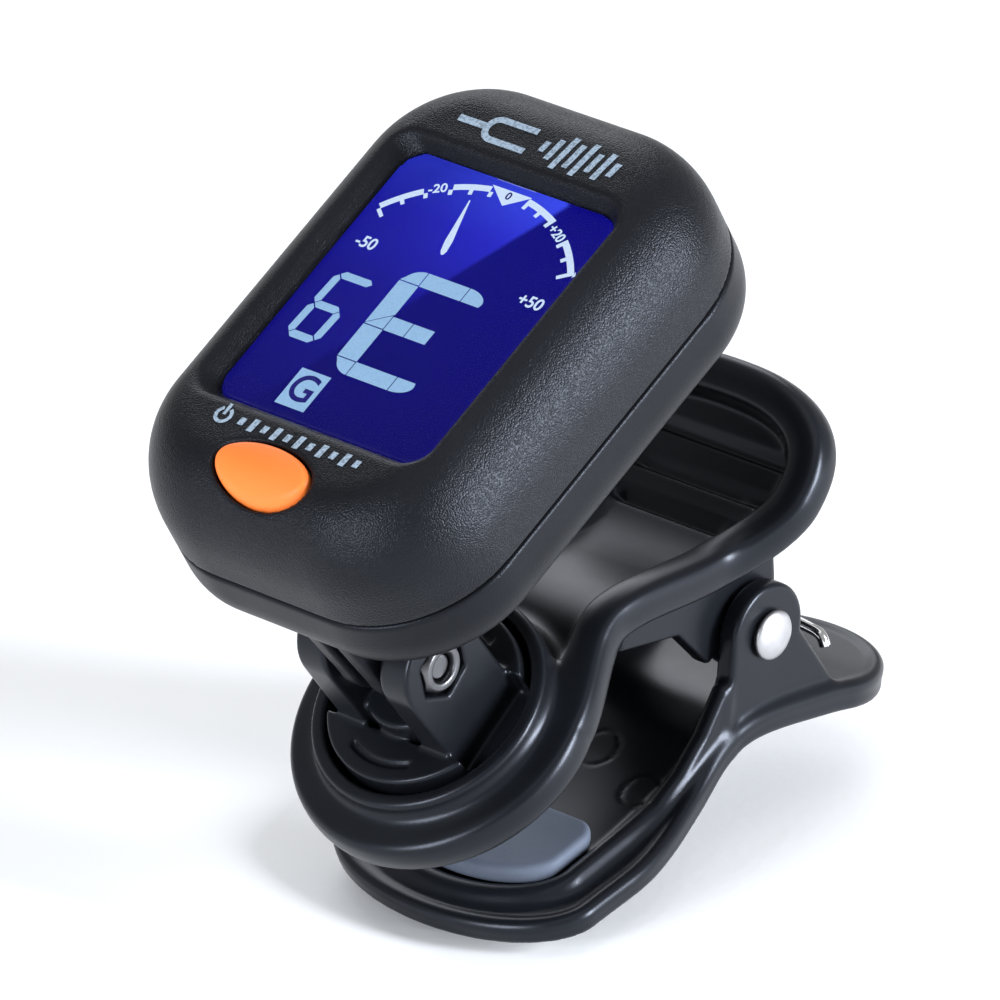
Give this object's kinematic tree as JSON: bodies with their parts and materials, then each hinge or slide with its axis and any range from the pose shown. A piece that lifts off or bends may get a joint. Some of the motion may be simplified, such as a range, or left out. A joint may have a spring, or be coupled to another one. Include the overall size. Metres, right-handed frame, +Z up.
{
  "type": "clip-on tuner",
  "caption": "Instrument tuner head with a lit screen on a turning and tilting mount, carried by a sprung finger clip with padded jaws.",
  "frame": {"origin": "middle of the flat sole under the lower jaw", "axes": "+Z up from the sole, +Y towards the finger handles, +X to the right of the screen and along the hinge pin"},
  "size_m": [0.0372, 0.0793, 0.0728],
  "materials": {
    "shell_plastic": "fine pebble grain",
    "clip_plastic": "satin with a very fine grain",
    "pad_rubber": "matt",
    "bright_steel": "satin nickel",
    "dark_steel": "blackened",
    "orange_plastic": "satin",
    "clear_plastic": "polished",
    "blue_display": "lit from behind",
    "white_plastic": "matt",
    "board_green": "solder resist",
    "black_resin": "satin",
    "brass": "plain"
  },
  "bodies": {
    "lower_arm": {"lower_jaw": "clip_plastic", "lower_pad": "pad_rubber", "hinge_pin": "bright_steel", "torsion_spring": "bright_steel"},
    "upper_arm": {"upper_jaw": "clip_plastic", "upper_pad": "pad_rubber", "swivel_screw": "bright_steel"},
    "turret": {"turret": "clip_plastic", "swivel_washer": "dark_steel", "tilt_bolt": "dark_steel", "tilt_nut": "dark_steel"},
    "head": {"front_cover": "shell_plastic", "back_cover": "shell_plastic", "screen_window": "clear_plastic", "lcd_glass": "blue_display", "backlight_panel": "white_plastic", "zebra_strip_lower": "pad_rubber", "zebra_strip_upper": "pad_rubber", "circuit_board": "board_green", "controller_chip": "black_resin", "switch_body": "black_resin", "piezo_disc": "brass", "coin_cell": "bright_steel", "battery_contact_rim": "brass", "battery_contact_centre": "brass", "case_screw_1": "bright_steel", "case_screw_2": "bright_steel", "case_screw_3": "bright_steel", "case_screw_4": "bright_steel"},
    "button": {"power_button": "orange_plastic", "switch_plunger": "white_plastic"},
    "battery_door": {"battery_door": "shell_plastic"}
  },
  "joints": [
    {"name": "jaw_hinge", "type": "hinge", "parent": "lower_arm", "child": "upper_arm", "pos_m": [0, 0.026, 0.0203], "axis": [-1, 0, 0], "range_deg": [0, 35], "stiffness_Nm_per_rad": 0.3, "springref_deg": -28.65, "deforming": ["torsion_spring"]},
    {"name": "turret_swivel", "type": "hinge", "parent": "upper_arm", "child": "turret", "pos_m": [0, -0.008, 0.0225], "axis": [0, -0.6018, 0.7986], "continuous": true},
    {"name": "head_tilt", "type": "hinge", "parent": "turret", "child": "head", "pos_m": [0, -0.01306, 0.02921], "axis": [1, 0, 0], "range_deg": [-20, 60]},
    {"name": "button_press", "type": "slide", "parent": "head", "child": "button", "axis": [0, 0.497, -0.8678], "range_m": [0, 0.0005], "stiffness_N_per_m": 300, "springref_m": -0.0005},
    {"name": "battery_door_lift", "type": "slide", "parent": "head", "child": "battery_door", "axis": [0, 0.497, -0.8678], "range_m": [0, 0.008]}
  ]
}
